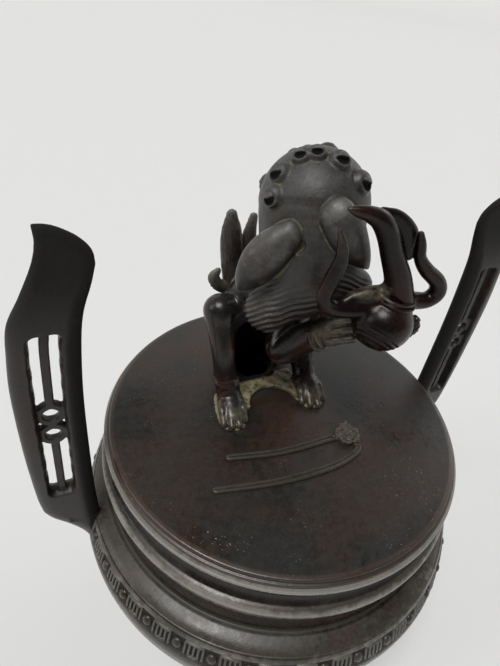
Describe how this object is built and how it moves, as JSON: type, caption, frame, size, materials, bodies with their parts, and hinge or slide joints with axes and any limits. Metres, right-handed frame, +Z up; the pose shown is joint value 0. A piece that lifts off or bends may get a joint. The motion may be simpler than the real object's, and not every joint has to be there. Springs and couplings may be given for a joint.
{
  "type": "incense burner",
  "caption": "Round bronze tripod incense burner with S-shaped pierced handles, a removable ash liner and a flat lift-off lid that carries a crouching guardian lion with a flaming jewel.",
  "frame": {"origin": "on the floor plane, under the middle of the bowl", "axes": "+Z up, +X towards the right handle, and the lion on the lid faces -Y"},
  "size_m": [0.1814, 0.1548, 0.2232],
  "materials": {
    "bowl_bronze": "dark brown patinated cast bronze, satin",
    "lid_bronze": "mottled red-brown and olive patinated cast bronze, satin",
    "figure_bronze": "grey-brown patinated cast bronze, satin",
    "liner_copper": "dull toned copper sheet"
  },
  "bodies": {
    "burner": {"bowl": "bowl_bronze", "leg_front": "bowl_bronze", "leg_rear_right": "bowl_bronze", "leg_rear_left": "bowl_bronze", "leg_rivet_front": "bowl_bronze", "leg_rivet_rear_right": "bowl_bronze", "leg_rivet_rear_left": "bowl_bronze", "handle_right": "bowl_bronze", "handle_left": "bowl_bronze", "handle_rivet_right": "bowl_bronze", "handle_rivet_left": "bowl_bronze"},
    "liner": {"ash_liner": "liner_copper"},
    "lid_group": {"lid": "lid_bronze", "lion_body": "figure_bronze", "lion_head": "figure_bronze", "lion_tail": "figure_bronze", "lion_foreleg": "figure_bronze", "flame_jewel": "figure_bronze", "ribbon_short": "lid_bronze", "ribbon_long": "lid_bronze", "ribbon_knot": "lid_bronze", "lion_rivet_right_foot": "bowl_bronze", "lion_rivet_left_foot": "bowl_bronze", "lion_rivet_rump": "bowl_bronze"}
  },
  "joints": [
    {"name": "lid_lift", "type": "slide", "parent": "burner", "child": "lid_group", "axis": [0, 0, 1], "range_m": [0, 0.055]},
    {"name": "liner_lift", "type": "slide", "parent": "burner", "child": "liner", "axis": [0, 0, 1], "range_m": [0, 0.004]}
  ]
}
